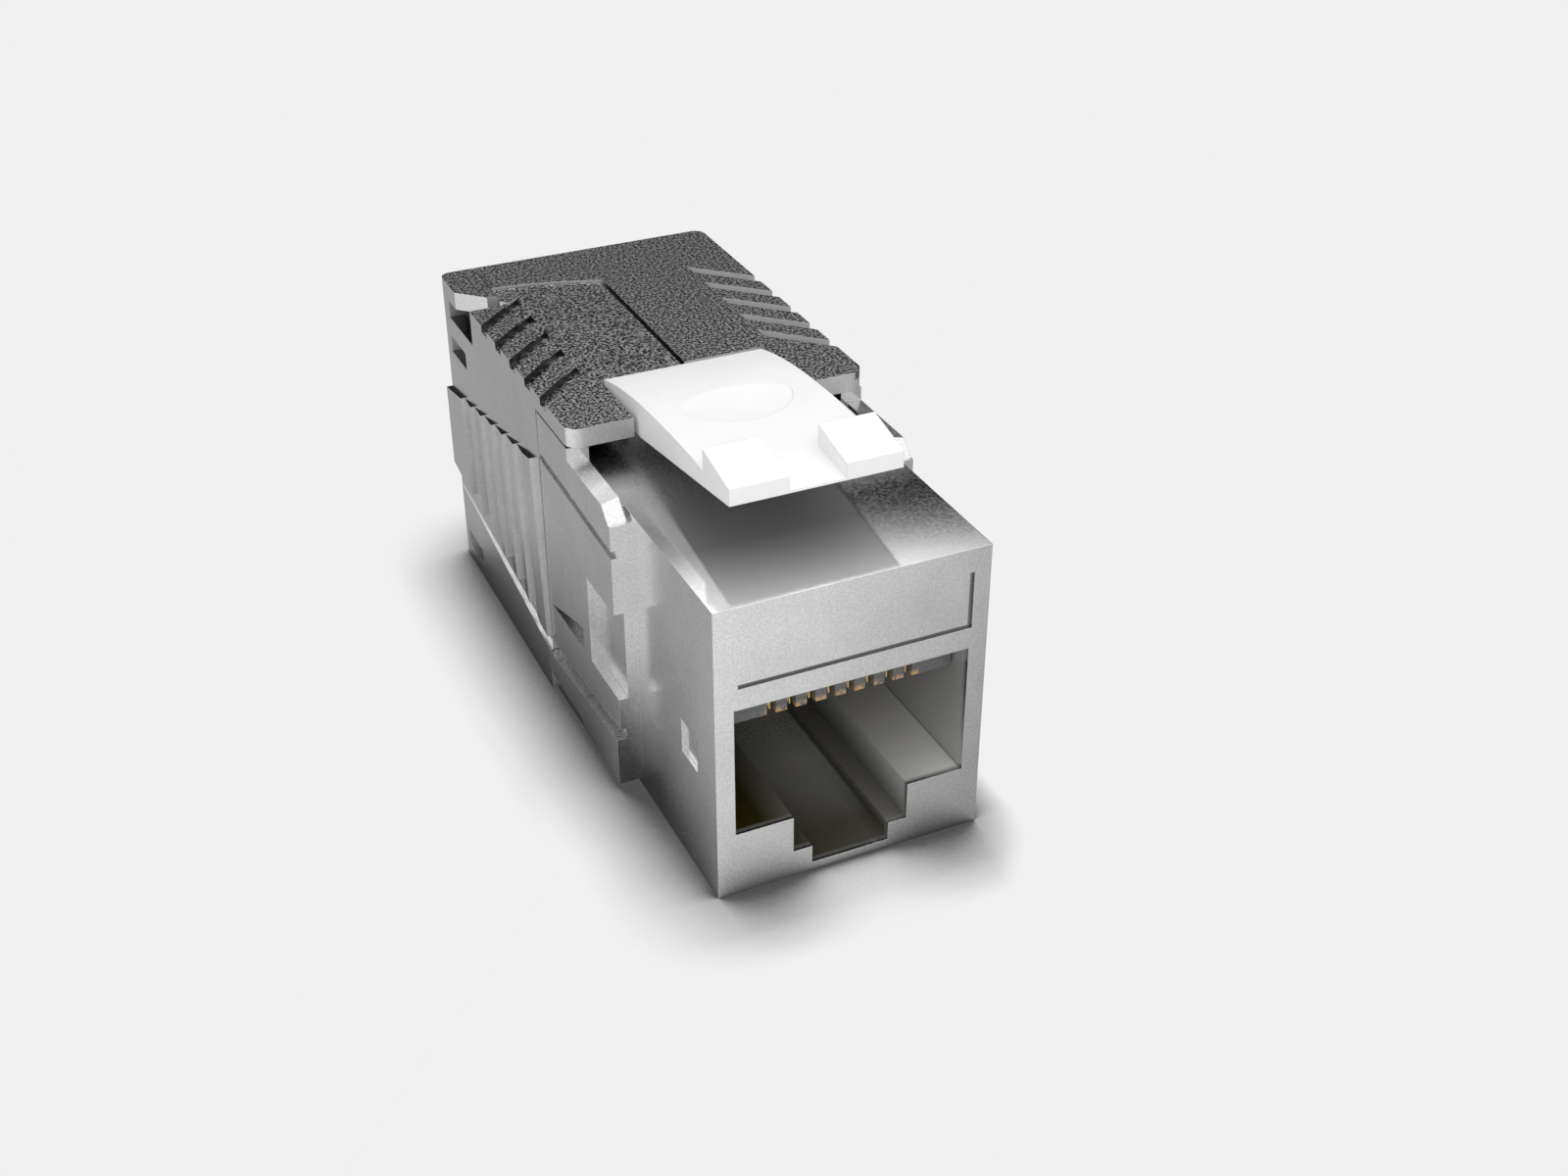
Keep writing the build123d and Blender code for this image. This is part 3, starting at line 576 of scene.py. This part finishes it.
# %% Moulded inner pieces
def moulded(name, first, second, rough):
    """A glass-filled plastic between two tones."""
    finish = Coat(name)
    mottle = finish.noise(0.25, 3.0)
    finish.set(
        Base_Color=finish.shade(finish.between(mottle, 0.0, 1.0), first, second),
        Roughness=finish.between(finish.noise(0.6), rough - 0.05, rough + 0.06),
        Normal=finish.relief(mottle, 0.004, finish.soft_edges(0.05)),
    )
    return finish.material


dress(moulded("charcoal_block", (0.05, 0.05, 0.052), (0.085, 0.085, 0.088), 0.5), "terminal_block")
dress(moulded("natural_cap", (0.72, 0.71, 0.67), (0.79, 0.78, 0.75), 0.42), "wire_manager")

# %% [markdown]
# The spring contacts are phosphor bronze with a gold flash, the forked wire contacts are tinned, and
# the hinge pins are plain drawn steel. Drawn wire shows fine lines along its length, which noise gives
# when it is stretched the same way.

# %% Contacts and pins
contact_names = sorted(name for name in nodes if name.startswith("contact_") and name[-1].isdigit())
fork_names = sorted(name for name in nodes if name.startswith("idc_contact"))
pin_names = sorted(name for name in nodes if name.startswith("hinge_pin"))


def drawn(name, first, second, low, high, stretch):
    """A bare metal with fine lines along one direction."""
    finish = Coat(name)
    lines = finish.noise(0.05, 2.0, finish.stretch(stretch))
    finish.set(
        Base_Color=finish.shade(finish.between(finish.noise(0.8), 0.0, 1.0), first, second),
        Metallic=1.0,
        Roughness=finish.between(lines, low, high),
        Normal=finish.relief(lines, 0.001, finish.soft_edges(0.03)),
    )
    return finish.material


gold = drawn("gold_flash", (1.0, 0.70, 0.27), (1.0, 0.78, 0.36), 0.3, 0.42, (1.0, 0.1, 1.0))
tin = drawn("tinned_sheet", (0.76, 0.75, 0.72), (0.84, 0.83, 0.80), 0.25, 0.4, (1.0, 0.15, 1.0))
steel = drawn("drawn_steel", (0.50, 0.50, 0.50), (0.60, 0.60, 0.60), 0.2, 0.35, (1.0, 1.0, 0.1))
dress(gold, *contact_names)
dress(tin, *fork_names)
dress(steel, *pin_names)

# %% [markdown]
# Each contact ends in a thin lead that slants down through its slot of the comb. In the picture these
# leads are fine gold lines under the lip of the port. They are too fine for the CAD, so they are made here:
# eight slim six-sided rods, from the front of the comb down and back into its slot. A curve with a
# bevel would do as well, but a mesh of two rings is as short.

# %% Shape of a lead
sides = 6
lead_radius = 0.055 * MM
lead_top = Vector((-0.1, COMB_FRONT - 0.02, PORT_TOP + 0.3)) * MM
lead_end = Vector((0.06, COMB_FRONT + 0.38, COMB_LOW + 0.05)) * MM
around = (lead_end - lead_top).to_track_quat("Z", "Y")
rings = []
for end in (lead_top, lead_end):
    for side in range(sides):
        turn = 2 * math.pi * side / sides
        rings.append(end + around @ Vector((math.cos(turn), math.sin(turn), 0.0)) * lead_radius)
walls = [(side, (side + 1) % sides, sides + (side + 1) % sides, sides + side) for side in range(sides)]
caps = [tuple(reversed(range(sides))), tuple(range(sides, 2 * sides))]
print("a lead is", round((lead_end - lead_top).length / MM, 2), "mm long")

# %% [markdown]
# The eight leads share that shape and stand one pitch apart, like the contacts.

# %% Eight slanted leads
LEADS = 8
CONTACT_PITCH = 1.02
for number in range(LEADS):
    aside = Vector(((number - (LEADS - 1) / 2) * CONTACT_PITCH * MM, 0.0, 0.0))
    lead_mesh = bpy.data.meshes.new(f"contact_lead_{number + 1}")
    lead_mesh.from_pydata([aside + point for point in rings], [], walls + caps)
    lead_mesh.materials.append(gold)
    lead = bpy.data.objects.new(f"contact_lead_{number + 1}", lead_mesh)
    scene.collection.objects.link(lead)
    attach(lead, "housing")
print(LEADS, "leads,", CONTACT_PITCH, "mm apart")

# %% [markdown]
# The circuit board is glass cloth under green lacquer. The weave of the cloth shows faintly through
# it, so two crossed waves lift the lacquer a little.

# %% Circuit board
board = Coat("green_lacquer")
weave = []
for direction in ("X", "Z"):
    threads = board.tree.nodes.new("ShaderNodeTexWave")
    threads.bands_direction = direction
    threads.inputs["Scale"].default_value = 0.9
    threads.inputs["Distortion"].default_value = 0.6
    board.tree.links.new(board.place, threads.inputs["Vector"])
    weave.append(threads.outputs["Fac"])
cloth = board.times(*weave)
share = board.between(cloth, 0.0, 1.0, 0.0, 1.0)
board.set(
    Base_Color=board.shade(share, (0.010, 0.085, 0.030), (0.020, 0.125, 0.045)),
    Roughness=board.between(board.noise(0.5), 0.25, 0.35),
    Normal=board.relief(cloth, 0.006, board.soft_edges(0.04)),
)
dress(board.material, "circuit_board")

# %% [markdown]
# The last cell writes down how many pieces were dressed. The finishes and the added detail have to
# stay inside the real size.

# %% Pieces dressed
print("dressed", len(nodes), "pieces")
